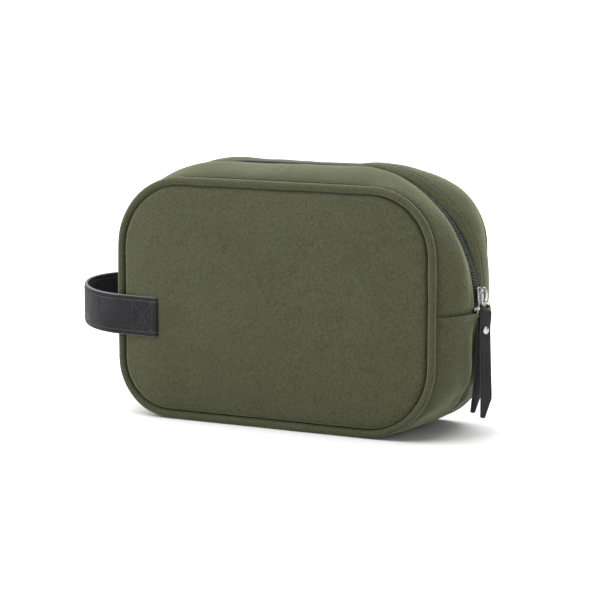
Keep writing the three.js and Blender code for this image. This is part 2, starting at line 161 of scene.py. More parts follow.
def sun_light(name, toward, angle, strength):
    """A broad, distant light; toward points from the bag to the light."""
    data = bpy.data.lights.new(name, "SUN")
    data.angle = math.radians(angle)
    data.energy = strength
    light = bpy.data.objects.new(name, data)
    bpy.context.scene.collection.objects.link(light)
    light.rotation_euler = Vector(toward).to_track_quat("Z", "Y").to_euler()


sun_light("sky_panel", (-0.32, 0.14, 0.93), 95, 6.3)
area_light("left_panel", (-0.9, -0.75, 0.5), (-0.05, 0, 0.09), (0.7, 0.7), 5)
area_light("right_panel", (1.1, -0.25, 0.4), (0.1, 0, 0.06), (0.5, 0.5), 1.6)

world = bpy.data.worlds.new("studio")
bpy.context.scene.world = world
world.use_nodes = True
world.node_tree.nodes["Background"].inputs["Color"].default_value = (1, 1, 1, 1)
world.node_tree.nodes["Background"].inputs["Strength"].default_value = 0.55

# ---- Materials ----------------------------------------------------------


class Nodes:
    """A material's node tree, with short calls for the nodes that these materials need."""

    def __init__(self, name):
        self.material = bpy.data.materials.new(name)
        self.material.use_nodes = True
        self.tree = self.material.node_tree
        self.shader = self.tree.nodes["Principled BSDF"]
        self.coordinates = self.tree.nodes.new("ShaderNodeTexCoord").outputs["Object"]

    def link(self, source, target):
        self.tree.links.new(source, target)

    def set(self, **values):
        for key, value in values.items():
            self.shader.inputs[key.replace("_", " ")].default_value = value

    def noise(self, scale, detail=2.0, roughness=0.5, stretch=(1, 1, 1), distortion=0.0):
        mapping = self.tree.nodes.new("ShaderNodeMapping")
        mapping.inputs["Scale"].default_value = stretch
        self.link(self.coordinates, mapping.inputs["Vector"])
        node = self.tree.nodes.new("ShaderNodeTexNoise")
        node.inputs["Scale"].default_value = scale
        node.inputs["Detail"].default_value = detail
        node.inputs["Roughness"].default_value = roughness
        node.inputs["Distortion"].default_value = distortion
        self.link(mapping.outputs["Vector"], node.inputs["Vector"])
        return node.outputs["Fac"]

    def cells(self, scale):
        node = self.tree.nodes.new("ShaderNodeTexVoronoi")
        node.inputs["Scale"].default_value = scale
        self.link(self.coordinates, node.inputs["Vector"])
        return node.outputs["Distance"]

    def waves(self, scale, direction, distortion=0.0):
        node = self.tree.nodes.new("ShaderNodeTexWave")
        node.bands_direction = direction
        node.inputs["Scale"].default_value = scale
        node.inputs["Distortion"].default_value = distortion
        self.link(self.coordinates, node.inputs["Vector"])
        return node.outputs["Fac"]

    def range(self, value, low, high, out_low=0.0, out_high=1.0):
        node = self.tree.nodes.new("ShaderNodeMapRange")
        node.interpolation_type = "SMOOTHSTEP"
        self.link(value, node.inputs["Value"])
        for key, number in zip(
            ("From Min", "From Max", "To Min", "To Max"), (low, high, out_low, out_high)
        ):
            node.inputs[key].default_value = number
        return node.outputs["Result"]

    def math(self, operation, a, b):
        node = self.tree.nodes.new("ShaderNodeMath")
        node.operation = operation
        for socket, value in zip(node.inputs, (a, b)):
            if isinstance(value, (int, float)):
                socket.default_value = value
            else:
                self.link(value, socket)
        return node.outputs["Value"]

    def mix(self, factor, a, b):
        node = self.tree.nodes.new("ShaderNodeMix")
        node.data_type = "RGBA"
        for socket, value in zip((node.inputs[0], node.inputs[6], node.inputs[7]), (factor, a, b)):
            if isinstance(value, tuple):
                socket.default_value = (*value, 1)
            elif isinstance(value, (int, float)):
                socket.default_value = value
            else:
                self.link(value, socket)
        return node.outputs[2]

    def color(self, value):
        self.link(value, self.shader.inputs["Base Color"])

    def roughness(self, value):
        self.link(value, self.shader.inputs["Roughness"])

    def bump(self, *layers):
        """Each layer is (height, distance in metres, strength); they are chained."""
        normal = None
        for height, distance, strength in layers:
            node = self.tree.nodes.new("ShaderNodeBump")
            node.inputs["Distance"].default_value = distance
            node.inputs["Strength"].default_value = strength
            self.link(height, node.inputs["Height"])
            if normal:
                self.link(normal, node.inputs["Normal"])
            normal = node.outputs["Normal"]
        self.link(normal, self.shader.inputs["Normal"])


def suede_material():
    """Brushed olive suede: soft patches where the nap lies differently, and a fine short pile."""
    n = Nodes("suede")
    patches = n.range(n.noise(16, 3, 0.55, (1, 1, 1.5), 0.4), 0.3, 0.7)
    blotches = n.range(n.noise(75, 3, 0.6, (1, 1, 1.3), 0.3), 0.32, 0.68)
    specks = n.range(n.noise(700, 3, 0.65), 0.3, 0.7)
    pile = n.range(n.noise(2600, 2, 0.6), 0.3, 0.7)
    base = n.mix(patches, (0.042, 0.046, 0.022), (0.060, 0.064, 0.032))
    base = n.mix(blotches, base, (0.055, 0.060, 0.030))
    darker = n.mix(0.9, base, (0.015, 0.017, 0.007))
    lighter = n.mix(0.8, base, (0.118, 0.122, 0.070))
    base = n.mix(specks, darker, base)
    base = n.mix(n.math("MULTIPLY", pile, 0.55), base, lighter)
    n.color(base)
    n.roughness(n.range(specks, 0, 1, 0.86, 0.97))
    n.set(Sheen_Weight=0.6, Sheen_Roughness=0.32, Sheen_Tint=(0.60, 0.65, 0.43, 1))
    n.set(Specular_IOR_Level=0.18)
    n.bump((blotches, 0.0005, 0.2), (specks, 0.0003, 0.35), (pile, 0.0002, 0.5))
    return n.material


def leather_material():
    """Black coated leather with a fine grain and slightly paler rubbed places."""
    n = Nodes("leather")
    rub = n.range(n.noise(60, 3, 0.6), 0.35, 0.7)
    pebble = n.cells(1150)
    crease = n.noise(420, 3, 0.6, (1, 1, 1), 0.6)
    base = n.mix(rub, (0.007, 0.0068, 0.0082), (0.013, 0.0127, 0.015))
    base = n.mix(n.range(pebble, 0.1, 0.6, 0.0, 0.4), base, (0.006, 0.006, 0.007))
    n.color(base)
    n.roughness(n.range(rub, 0, 1, 0.52, 0.42))
    n.set(Specular_IOR_Level=0.17)
    n.bump((crease, 0.0005, 0.4), (pebble, 0.0007, 0.9))
    return n.material


def edge_material():
    """The painted edge of the handle and the cut edge of the pull: matt, slightly uneven. Its grey
    is edge paint, made paler than the leather partly as a painted highlight along the edges.
    """
    n = Nodes("leather_edge")
    grain = n.noise(900, 3, 0.6, (1, 1, 0.35))
    # Paler grey than the leather: partly the edge paint's own tone, partly a painted highlight.
    n.color(n.mix(grain, (0.030, 0.029, 0.033), (0.075, 0.074, 0.080)))
    n.roughness(n.range(grain, 0.3, 0.7, 0.5, 0.62))
    n.bump((grain, 0.0002, 0.35))
    return n.material


def thread_material(name, dark, light):
    """Twisted sewing thread."""
    n = Nodes(name)
    twist = n.waves(900, "DIAGONAL", 1.5)
    n.color(n.mix(twist, dark, light))
    n.roughness(n.range(twist, 0, 1, 0.55, 0.75))
    n.bump((twist, 0.00008, 0.5))
    return n.material


def weave_material(name, dark, light, roughness):
    """Plain woven cloth, for the lining, the zip's tape and the binding."""
    n = Nodes(name)
    warp = n.waves(620, "X")
    weft = n.waves(620, "Z")
    across = n.waves(620, "Y")
    threads = n.math("MULTIPLY", n.math("MAXIMUM", warp, across), weft)
    shade = n.range(n.noise(45, 3, 0.6), 0.3, 0.7)
    base = n.mix(threads, dark, light)
    n.color(n.mix(n.math("MULTIPLY", shade, 0.3), base, dark))
    n.roughness(n.range(shade, 0, 1, roughness - 0.06, roughness + 0.06))
    n.set(Sheen_Weight=0.1, Sheen_Roughness=0.4)
    n.bump((shade, 0.0008, 0.3), (threads, 0.0002, 0.5))
    return n.material


def coil_material():
    """Dark green-black nylon monofilament."""
    n = Nodes("zip_coil")
    tone = n.range(n.noise(300, 2, 0.5), 0.3, 0.7)
    n.color(n.mix(tone, (0.006, 0.013, 0.010), (0.022, 0.042, 0.034)))
    n.roughness(n.range(tone, 0, 1, 0.38, 0.5))
    n.bump((tone, 0.0001, 0.3))
    return n.material


def metal_material():
    """Bright nickel plate with faint polishing marks."""
    n = Nodes("bright_metal")
    marks = n.noise(900, 3, 0.6, (1, 1, 0.2))
    cloud = n.range(n.noise(140, 2, 0.5), 0.3, 0.7)
    n.color(n.mix(cloud, (0.36, 0.355, 0.36), (0.56, 0.55, 0.555)))
    n.roughness(n.range(marks, 0.3, 0.7, 0.16, 0.28))
    n.set(Metallic=1.0)
    n.bump((marks, 0.00006, 0.3))
    return n.material


def floor_material():
    n = Nodes("floor")
    tone = n.noise(3, 2, 0.5)
    n.color(n.mix(tone, (0.69, 0.69, 0.69), (0.72, 0.72, 0.72)))
    n.set(Roughness=0.8, Specular_IOR_Level=0.2)
    return n.material


suede = suede_material()
leather = leather_material()
leather_edge = edge_material()
suede_thread = thread_material("suede_thread", (0.018, 0.022, 0.012), (0.05, 0.058, 0.03))
leather_thread = thread_material("leather_thread", (0.022, 0.022, 0.027), (0.065, 0.064, 0.074))
lining_cloth = weave_material("lining", (0.012, 0.012, 0.013), (0.035, 0.035, 0.037), 0.6)
binding_tape = weave_material("binding", (0.008, 0.008, 0.009), (0.022, 0.022, 0.023), 0.75)
zip_cloth = weave_material("zip_tape", (0.007, 0.012, 0.010), (0.018, 0.028, 0.024), 0.75)
coil = coil_material()
metal = metal_material()

floor_mesh = bpy.data.meshes.new("floor")
floor_mesh.from_pydata([(-90, -90, 0), (90, -90, 0), (90, 90, 0), (-90, 90, 0)], [], [(0, 1, 2, 3)])
floor_mesh.materials.append(floor_material())
floor = bpy.data.objects.new("floor", floor_mesh)
bpy.context.scene.collection.objects.link(floor)

# ---- Meshes from grids of points ----------------------------------------


def unit(vectors):
    length = np.linalg.norm(vectors, axis=-1, keepdims=True)
    return vectors / np.maximum(length, 1e-9)


def grid_faces(rows, cols, wrap_cols=False, wrap_rows=False, start=0):
    r = np.arange(rows if wrap_rows else rows - 1)
    c = np.arange(cols if wrap_cols else cols - 1)
    r, c = np.meshgrid(r, c, indexing="ij")
    r1, c1 = (r + 1) % rows, (c + 1) % cols
    quads = np.stack([r * cols + c, r * cols + c1, r1 * cols + c1, r1 * cols + c], -1)
    return quads.reshape(-1, 4) + start


def make_piece(name, points, faces, material, merge=0.0):
    """A mesh object from points in millimetres, with its normals turned outwards."""
    mesh = bpy.data.meshes.new(name)
    mesh.from_pydata((np.asarray(points) * MM).tolist(), [], [list(f) for f in faces])
    work = bmesh.new()
    work.from_mesh(mesh)
    if merge:
        bmesh.ops.remove_doubles(work, verts=work.verts, dist=merge * MM)
    bmesh.ops.recalc_face_normals(work, faces=work.faces)
    work.to_mesh(mesh)
    work.free()
    mesh.shade_smooth()
    mesh.materials.append(material)
    obj = bpy.data.objects.new(name, mesh)
    bpy.context.scene.collection.objects.link(obj)
    return obj


def round_rim(outer, inner, at_start):
    """Adds rows that close the gap between two skins with a half-round rim."""
    if at_start:
        outer, inner = outer[::-1], inner[::-1]
    middle = (outer + inner) / 2
    half = (outer - inner) / 2
    ahead = unit(middle[-1] - middle[-2])
    reach = np.linalg.norm(half[-1], axis=-1, keepdims=True)
    for angle in (0.5, 1.0, 1.5708):
        centre = middle[-1] + ahead * reach * math.sin(angle)
        outer = np.concatenate([outer, (centre + half[-1] * math.cos(angle))[None]])
        inner = np.concatenate([inner, (centre - half[-1] * math.cos(angle))[None]])
    if at_start:
        outer, inner = outer[::-1], inner[::-1]
    return outer, inner


def sheet_piece(name, outer, inner, material, rims="rc", wrap_cols=False):
    """A closed body between two skins, each an array of rows and columns of points.
    rims says which edges are rounded shut: r at both ends of the rows, e at the last row only,
    and c at both sides."""
    if "r" in rims:
        outer, inner = round_rim(outer, inner, True)
    if "r" in rims or "e" in rims:
        outer, inner = round_rim(outer, inner, False)
    if "c" in rims:
        outer, inner = outer.transpose(1, 0, 2), inner.transpose(1, 0, 2)
        outer, inner = round_rim(outer, inner, True)
        outer, inner = round_rim(outer, inner, False)
        outer, inner = outer.transpose(1, 0, 2), inner.transpose(1, 0, 2)
    rows, cols = outer.shape[:2]
    faces = np.concatenate(
        [
            grid_faces(rows, cols, wrap_cols),
            grid_faces(rows, cols, wrap_cols, start=rows * cols)[:, ::-1],
        ]
    )
    points = np.concatenate([outer.reshape(-1, 3), inner.reshape(-1, 3)])
    return make_piece(name, points, faces, material, merge=0.002)


def tube_piece(name, path, material, radius, sides=12, closed=True, up=None, flat=1.0):
    """A round tube along a path. up steadies the section, and flat squashes it along up."""
    path = np.asarray(path, float)
    if closed:
        along = unit(np.roll(path, -1, 0) - np.roll(path, 1, 0))
    else:
        along = unit(np.gradient(path, axis=0))
    if up is None:
        up = np.array([0.0, 1.0, 0.0])
    up = np.broadcast_to(np.asarray(up, float), path.shape)
    side = unit(np.cross(along, up))
    over = unit(np.cross(side, along))
    radius = np.broadcast_to(np.asarray(radius, float), (len(path),))[:, None, None]
    angle = np.linspace(0, 2 * math.pi, sides, endpoint=False)[None, :, None]
    rings = path[:, None] + radius * (
        np.cos(angle) * side[:, None] + flat * np.sin(angle) * over[:, None]
    )
    faces = list(grid_faces(len(path), sides, True, closed))
    if not closed:
        last = (len(path) - 1) * sides
        faces = [list(f) for f in faces]
        faces.append(list(range(sides)))
        faces.append([last + i for i in range(sides)])
    return make_piece(name, rings.reshape(-1, 3), faces, material)


def stitches(name, path, outward, material, pitch, radius, fill=0.72):
    """A row of stitches along a path: each one dips into the cloth at both ends."""
    path = np.asarray(path, float)
    outward = np.asarray(outward, float)
    if outward.ndim == 1:
        outward = np.broadcast_to(outward, path.shape)
    step = np.linalg.norm(np.diff(path, axis=0), axis=1)
    travel = np.concatenate([[0], np.cumsum(step)])
    count = max(1, int(round(travel[-1] / pitch)))
    pitch = travel[-1] / count
    share = np.array([0, 0.1, 0.3, 0.5, 0.7, 0.9, 1.0])
    lift = np.array([-1.0, -0.1, 0.35, 0.45, 0.35, -0.1, -1.0])
    girth = np.array([0.35, 0.85, 1, 1, 1, 0.85, 0.35])
    sides = 6
    angle = np.linspace(0, 2 * math.pi, sides, endpoint=False)
    points, faces = [], []
    for k in range(count):
        at = (k + (1 - fill) / 2 + share * fill) * pitch
        line = np.stack([np.interp(at, travel, path[:, i]) for i in range(3)], -1)
        out = unit(np.stack([np.interp(at, travel, outward[:, i]) for i in range(3)], -1))
        line = line + out * (lift * radius)[:, None]
        along = unit(np.gradient(line, axis=0))
        side = unit(np.cross(along, out))
        over = np.cross(side, along)
        ring = line[:, None] + (girth * radius)[:, None, None] * (
            np.cos(angle)[None, :, None] * side[:, None]
            + np.sin(angle)[None, :, None] * over[:, None]
        )
        start = len(points) * sides * len(share)
        points.append(ring.reshape(-1, 3))
        faces += [list(f) for f in grid_faces(len(share), sides, True, start=start)]
        faces.append(list(range(start, start + sides)))
        end = start + (len(share) - 1) * sides
        faces.append(list(range(end, end + sides)))
    return make_piece(name, np.concatenate(points), faces, material)


def bake(obj, *modifiers):
    """Applies modifiers, given as (type, {setting: value}), to an object's mesh."""
    for kind, settings in modifiers:
        modifier = obj.modifiers.new(kind, kind)
        for key, value in settings.items():
            setattr(modifier, key, value)
    evaluated = obj.evaluated_get(bpy.context.evaluated_depsgraph_get())
    mesh = bpy.data.meshes.new_from_object(evaluated)
    obj.modifiers.clear()
    obj.data = mesh
    return obj


def waviness(x, y, z, wavelength, seed, waves=7):
    """A smooth random height between about -1 and 1, the same on every run."""
    random = np.random.default_rng(seed)
    total = 0.0
    for _ in range(waves):
        direction = unit(random.normal(size=3))
        length = wavelength * random.uniform(0.7, 1.5)
        phase = random.uniform(0, 2 * math.pi)
        along = x * direction[0] + y * direction[1] + z * direction[2]
        total = total + np.sin(2 * math.pi * along / length + phase)
    return total / math.sqrt(waves / 2) / 1.6


# ---- Outlines -----------------------------------------------------------


def quarter(half_width, end_z, radius):
    """Evenly spaced points from the side at seam height to the middle of the top or bottom."""
    up = 1 if end_z > SEAM_Z else -1
    straight = abs(end_z - SEAM_Z) - radius
    arc = radius * math.pi / 2
    flat = half_width - radius
    s = np.linspace(0, straight + arc + flat, QUARTER + 1)
    turn = np.clip((s - straight) / radius, 0, math.pi / 2)
    rise = np.minimum(s, straight) + radius * np.sin(turn)
    inward = radius * (1 - np.cos(turn)) + np.maximum(s - straight - arc, 0)
    return np.stack([half_width - inward, SEAM_Z + up * rise], -1)


def outline(half_width, top, bottom, corners, soften=3.0):
    """A closed loop that starts at the right-hand seam and runs over the top to the left."""
    mirror = np.array([-1, 1])
    loop = np.concatenate(
        [
            quarter(half_width, top, corners[0])[:-1],
            (quarter(half_width, top, corners[1]) * mirror)[:0:-1],
            (quarter(half_width, bottom, corners[2]) * mirror)[:-1],
            quarter(half_width, bottom, corners[3])[:0:-1],
        ]
    )
    waves = np.fft.fftfreq(len(loop))
    filter_ = np.exp(-2 * (math.pi * soften * waves) ** 2)[:, None]
    return np.real(np.fft.ifft(np.fft.fft(loop, axis=0) * filter_, axis=0))


def outward(loop):
    """Outward normals of a loop in the XZ plane, as [x, z]."""
    along = unit(np.roll(loop, -1, 0) - np.roll(loop, 1, 0))
    return np.stack([along[:, 1], -along[:, 0]], -1)


pipe_loops = {
    -1: outline(PIPE_HALF_WIDTH, PIPE_TOP, PIPE_BOTTOM, FRONT_CORNERS),
    1: outline(PIPE_HALF_WIDTH, PIPE_TOP, PIPE_BOTTOM, REAR_CORNERS),
}
mid_loop = outline(MID_HALF_WIDTH, MID_TOP, 0, MID_CORNERS)
mid_normal = outward(mid_loop)

# The upper strips' ends run on a little way behind the base gusset's folded edge.
TUCKED = 3
TOP_SPAN = np.arange(-TUCKED, 2 * QUARTER + TUCKED + 1) % (4 * QUARTER)
BASE_SPAN = np.arange(2 * QUARTER + 1, 4 * QUARTER)


def gusset_surface(span, v, depth=0.0):
    """Points of the gusset at loop samples (rows) and distances across (columns).
    depth may be an array over both. Returns the points and the outward normals in XZ."""
    v = np.asarray(v, float)
    points = np.zeros((len(span), len(v), 3))
    normals = np.zeros((len(span), len(v), 3))
    for j, across in enumerate(v):
        side = -1 if across < 0 else 1
        loop = pipe_loops[side]
        normal = outward(loop)
        edge = loop + EDGE_STEP * normal
        away = min(1.0, abs(across) / EDGE_V)
        bulge = 1 - away**BULGE_POWER
        xz = (edge + (mid_loop - edge) * bulge)[span]
        n = unit(normal + (mid_normal - normal) * bulge)[span]
        swell = PUFF_TOP * n[:, 1] ** 2 + PUFF_CORNER * np.abs(2 * n[:, 0] * n[:, 1])
        clear_of_zip = (abs(across) - 2) / 7 if side > 0 else (abs(across) - 4) / 11
        puff = swell * math.sin(math.pi * away) * min(1.0, max(0.0, clear_of_zip))
        if side < 0:
            puff = puff * np.where(n[:, 0] < 0, 0.6, 1.0)
        if side > 0:
            puff = puff + 2.2 * np.abs(2 * n[:, 0] * n[:, 1]) * min(1.0, away * 1.3) ** 2
        puff = puff * (span <= 2 * QUARTER)
        d = depth[:, j] if isinstance(depth, np.ndarray) else np.full(len(span), depth)
        xz = xz + n * (puff - d)[:, None]
        points[:, j] = np.stack([xz[:, 0], np.full(len(span), across), xz[:, 1]], -1)
        normals[:, j, 0], normals[:, j, 2] = n[:, 0], n[:, 1]
    return points, normals


def lay_on_floor(points):
    points[..., 2] = np.maximum(points[..., 2], 0.0)
    return points


def rest_on_floor(obj):
    for vertex in obj.data.vertices:
        vertex.co.z = max(vertex.co.z, 0.0)


# ---- Panels -------------------------------------------------------------


def panel_rows(side, inset, depth, shares):
    """Rows from the panel's middle line out to its edge, going round the loop in columns."""
    loop = pipe_loops[side] - inset * outward(pipe_loops[side])
    share = np.concatenate([np.arange(QUARTER), np.arange(QUARTER, 0, -1)] * 2) / QUARTER
    sign = np.where(np.arange(4 * QUARTER) < QUARTER, 1, -1)
    sign[3 * QUARTER :] = 1
    core = np.stack([sign * 62 * (1 - share), np.full(4 * QUARTER, MIDDLE_Z)], -1)
    rows = []
    for s in shares:
        xz = core + (loop - core) * s
        x, z = xz[:, 0], xz[:, 1]
        proud = PANEL_Y + CROWN * (1 - s**2.4)
        soft = 1 - s**5
        proud = proud + soft * 1.0 * waviness(x, 0 * x, z, 90, 11 + side)
        proud = proud + soft * 0.3 * waviness(x, 0 * x, z, 34, 21 + side)
        # The padding is thinner towards the right-hand side.
        proud = proud - soft * 1.6 * np.exp(-(((x - 88) / 17) ** 2) - ((z - 116) / 34) ** 2)
        from_edge = np.linalg.norm(loop - xz, axis=1)
        proud = proud - 3.6 * np.exp(-from_edge / 1.0) - depth
        rows.append(np.stack([x, side * proud, z], -1))
    return np.array(rows)


EDGE_SHARES = 1 - np.array([0.32, 0.26, 0.2, 0.15, 0.11, 0.08, 0.06, 0.045, 0.034, 0.025])
PANEL_SHARES = np.concatenate(
    [np.linspace(0, 0.62, 16), EDGE_SHARES, [0.982, 0.988, 0.993, 0.997, 1.0]]
)

for side, place in ((-1, "front"), (1, "rear")):
    outer = panel_rows(side, PANEL_INSET, 0, PANEL_SHARES)
    inner = panel_rows(side, PANEL_INSET, PADDED, PANEL_SHARES)
    # The padding stops short of the edge, where the cloth goes into the seam.
    inner[-6:] = outer[-6:] - np.array([0, side * CLOTH_THICK, 0])
    panel = sheet_piece(f"{place}_panel_padded", outer, inner, suede, "e", True)
    skin = panel_rows(side, PANEL_INSET + 1, LINING_DEPTH, PANEL_SHARES)
    lining = sheet_piece(
        f"{place}_panel_lining",
        skin,
        skin - np.array([0, side * LINING_THICK, 0]),
        lining_cloth,
        "e",
        True,
    )
    loop = pipe_loops[side]
    ripple = 1 + 0.03 * waviness(loop[:, 0], 0 * loop[:, 0], loop[:, 1], 22, 31 + side)
    path = np.stack([loop[:, 0], np.full(len(loop), side * PIPE_Y), loop[:, 1]], -1)
    path[:, 1] += 0.25 * waviness(loop[:, 0], 0 * loop[:, 0], loop[:, 1], 60, 41 + side)
    piping = tube_piece(f"{place}_piping_cord", path, suede, 0.87 * PIPE_RADIUS * ripple, 18)
    rest_on_floor(piping)
    tape_loop = loop - 9.5 * outward(loop)
    tape_path = np.stack(
        [tape_loop[:, 0], np.full(len(loop), side * 36.0), tape_loop[:, 1]], -1
    )
    binding = tube_piece(f"{place}_binding_tape", tape_path, binding_tape, 3.6, 12, flat=0.24)
    halves = ["lower", "upper"]
    for piece, kinds, slot in (
        (panel, ("panel", "foam"), "suede"),
        (lining, ("lining",), "lining"),
        (piping, ("piping",), "suede"),
        (binding, ("binding",), "binding"),
    ):
        if place == "front":
            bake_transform(piece)
            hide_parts(*[f"front_{k}_{h}" for k in kinds for h in halves])
        else:
            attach(piece, "bag_body")
            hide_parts(*[f"rear_{k}" for k in kinds])

# ---- Upper gusset strips ------------------------------------------------


def tuck(v):
    """How far the cloth dips as it goes into the seam beside the piping."""
    return 5.4 * np.exp(-(TUCK_V - np.abs(v)) / 1.5)


def gusset_wobble(points, amount):
    x, y, z = points[..., 0], points[..., 1], points[..., 2]
    fade = np.clip((EDGE_V - np.abs(y)) / 14, 0, 1)
    return amount * fade * (
        waviness(x, y, z, 62, 51) + 0.35 * waviness(x, y, z, 24, 52)
    )


def strip_span(side):
    """Distances across one upper strip, closer together at its folds."""
    near = ZIP_EDGE_V[side] + np.array([0, 0.4, 0.9, 1.6, 2.6, 3.7, 4.7, 5.3, 5.8, 6.3, 7.0, 8.2])
    far = np.linspace(14, 33, 8)
    edge = np.array([34.5, 35.7, 36.5, 37.1, 37.6, 38.0, TUCK_V])
    return side * np.concatenate([near, far, edge])


for side, place in ((-1, "front"), (1, "rear")):
    v = strip_span(side)
    plain, _ = gusset_surface(TOP_SPAN, v)
    away = np.abs(v)[None, :]
    stitch_dip = (0.4 if side > 0 else 0.1) * np.exp(-(((away - TOPSTITCH_V) / 0.75) ** 2))
    fold_roll = (0.5 if side > 0 else 0.9) * np.exp(-(away - ZIP_EDGE_V[side]) / 0.9)
    swell = (0.15 if side > 0 else 0.0) * np.exp(-(((away - 7.4) / 2.2) ** 2))
    seam_dip = 1.3 * np.exp(-(((plain[..., 2] - SEAM_Z) / 2.2) ** 2))
    groove = tuck(away) * (1.0 if side < 0 else 0.4)
    depth = groove + seam_dip + stitch_dip + fold_roll - swell - gusset_wobble(plain, 0.45)
    if side > 0:
        # Where the zip's end is gathered into the right-hand seam, the cloth stands proud.
        gathered = (plain[..., 2] - 85.5) / 4.5
        depth = depth - 1.9 * np.exp(-(gathered**2) - ((away - 8) / 5) ** 2) * (plain[..., 0] > 0)
    outer, normal = gusset_surface(TOP_SPAN, v, depth)
    inner = outer - normal * CLOTH_THICK
    strip = sheet_piece(f"{place}_gusset_cloth", outer, inner, suede)
    lining_v = side * np.linspace(6, 37.5, 9)
    skin, normal = gusset_surface(TOP_SPAN, lining_v, 3.0)
    lining = sheet_piece(
        f"{place}_gusset_lining_cloth", skin, skin - normal * 0.5, lining_cloth
    )
    tape_v = side * np.array([0.35, 2, 4, 6, 9, 12, 14])
    skin, normal = gusset_surface(TOP_SPAN, tape_v, 1.75)
    tape = sheet_piece(f"zip_tape_{place}_cloth", skin, skin - normal * 0.5, zip_cloth)
    row, normal = gusset_surface(TOP_SPAN[6:-6], [side * TOPSTITCH_V])
    wobble = gusset_wobble(row, 0.45)[:, :, None]
    row = row + normal * (wobble - (0.4 if side > 0 else 0.2))
    thread = stitches(f"{place}_topstitch", row[:, 0], normal[:, 0], suede_thread, 3.2, 0.2)
    row, normal = gusset_surface(TOP_SPAN[6:-6], [side * EDGE_STITCH_V])
    row = row - normal * (tuck(EDGE_STITCH_V) * (1.0 if side < 0 else 0.4) - 0.1)
    edge_thread = stitches(
        f"{place}_edge_stitch", row[:, 0], normal[:, 0], suede_thread, 2.6, 0.24
    )
    for piece, node, slot in (
        (strip, f"{place}_gusset", "suede"),
        (lining, f"{place}_gusset_lining", "lining"),
        (tape, f"zip_tape_{place}", "zip_tape"),
        (thread, None, "suede"),
        (edge_thread, None, "suede"),
    ):
        if node:
            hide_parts(node)
        if place == "front":
            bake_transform(piece)
        else:
            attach(piece, "bag_body")

# ---- Zip coil and stops -------------------------------------------------

COIL_PITCH = 1.9
COIL_STEPS = 12
COIL_CENTRE_V = 1.5
COIL_DEPTH = 0.35
COIL_HALF_WIDTH = 1.95
COIL_LIFT = 0.45
COIL_WIRE = 0.5


def coil_path(side):
    """A flattened spiral that follows the middle of the gusset."""
    base, normal = gusset_surface(TOP_SPAN[TUCKED:-TUCKED], [side * COIL_CENTRE_V], COIL_DEPTH)
    base, normal = base[:, 0], normal[:, 0]
    step = np.linalg.norm(np.diff(base, axis=0), axis=1)
    travel = np.concatenate([[0], np.cumsum(step)])
    turns = int((travel[-1] - 6) / COIL_PITCH)
    k = np.arange(turns * COIL_STEPS)
    phase = 2 * math.pi * (k / COIL_STEPS + (0.5 if side > 0 else 0))
    at = 3 + k / COIL_STEPS * COIL_PITCH
    line = np.stack([np.interp(at, travel, base[:, i]) for i in range(3)], -1)
    up = unit(np.stack([np.interp(at, travel, normal[:, i]) for i in range(3)], -1))
    line[:, 1] -= COIL_HALF_WIDTH * np.cos(phase) * side
    return line + up * (COIL_LIFT * np.sin(phase))[:, None], up


for side, place in ((-1, "front"), (1, "rear")):
    path, up = coil_path(side)
    spiral = tube_piece(f"zip_coil_{place}_spiral", path, coil, COIL_WIRE, 6, False, up)
    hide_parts(f"zip_coil_{place}")
    if place == "front":
        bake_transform(spiral)
    else:
        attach(spiral, "bag_body")


def zip_stop(name, span, v0, v1):
    """A metal clamp over the coil's end, in the place of one of the CAD model's stops."""
    v = np.linspace(v0, v1, 7)
    crown = 0.4 * (1 - np.linspace(-1, 1, 7) ** 2)[None, :]
    outer, _ = gusset_surface(span, v, np.repeat(0.1 - crown, len(span), 0))
    inner, _ = gusset_surface(span, v, 1.2)
    stop = sheet_piece(f"{name}_clamp", outer, inner, metal)
    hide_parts(name)
    return stop


right_end = TOP_SPAN[TUCKED : TUCKED + 3]
left_end = TOP_SPAN[-TUCKED - 3 : -TUCKED]
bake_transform(zip_stop("zip_top_stop_front", right_end, -3.4, -0.4))
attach(zip_stop("zip_top_stop_rear", right_end, 0.4, 3.4), "bag_body")
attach(zip_stop("zip_bottom_stop", left_end, -3.4, 3.4), "bag_body")

# ---- Base gusset --------------------------------------------------------

# The base gusset's folded top edge laps over the upper strips' ends. Rows bunch up beside it.
LAP = 1.9
LAP_STITCH = 5.2


def base_surface():
    v = np.concatenate(
        [
            -np.array([TUCK_V, 38.0, 37.6, 37.1, 36.5, 35.7, 34.5]),
            np.linspace(-33, 33, 33),
            np.array([34.5, 35.7, 36.5, 37.1, 37.6, 38.0, TUCK_V]),
        ]
    )
    plain, _ = gusset_surface(BASE_SPAN, v)
    x, y, z = plain[..., 0], plain[..., 1], plain[..., 2]
    below = SEAM_Z - z
    # The lapped fold: a raised roll at the edge, a dip at the stitching, then the flat cloth.
    roll = LAP * np.exp(-((below / 5.2) ** 4)) - 0.55 * np.exp(
        -(((below - LAP_STITCH) / 0.9) ** 2)
    )
    end_bump = 1.4 * np.exp(-((y / 11) ** 2)) * np.exp(-((below / 7) ** 2))
    # A slanting valley and a low ridge in the right end, and creases round the bottom corners.
    right = np.clip((x - 95) / 20, 0, 1)
    valley = 0.36 * np.maximum(0, 56 - z) - 4
    fold = -3.2 * np.exp(-(((y - valley) / 3.0) ** 2))
    fold = fold + 1.1 * np.exp(-(((y - valley + 9) / 5.5) ** 2))
    fold = fold * np.clip((below - 6) / 16, 0, 1) * np.clip((z - 6) / 14, 0, 1)
    corner = np.exp(-(((z - 19) / 14) ** 2)) * np.clip((np.abs(x) - 70) / 20, 0, 1)
    crease = corner * 1.0 * waviness(x * 0.4, y * 0.35, z * 1.2, 15, 61)
    fade = np.clip((EDGE_V - np.abs(y)) / 8, 0, 1)
    height = roll + end_bump + right * fold * fade + crease * fade
    height = height + gusset_wobble(plain, 0.4) * np.clip(z / 25, 0, 1)
    return gusset_surface(BASE_SPAN, v, tuck(y) - height)


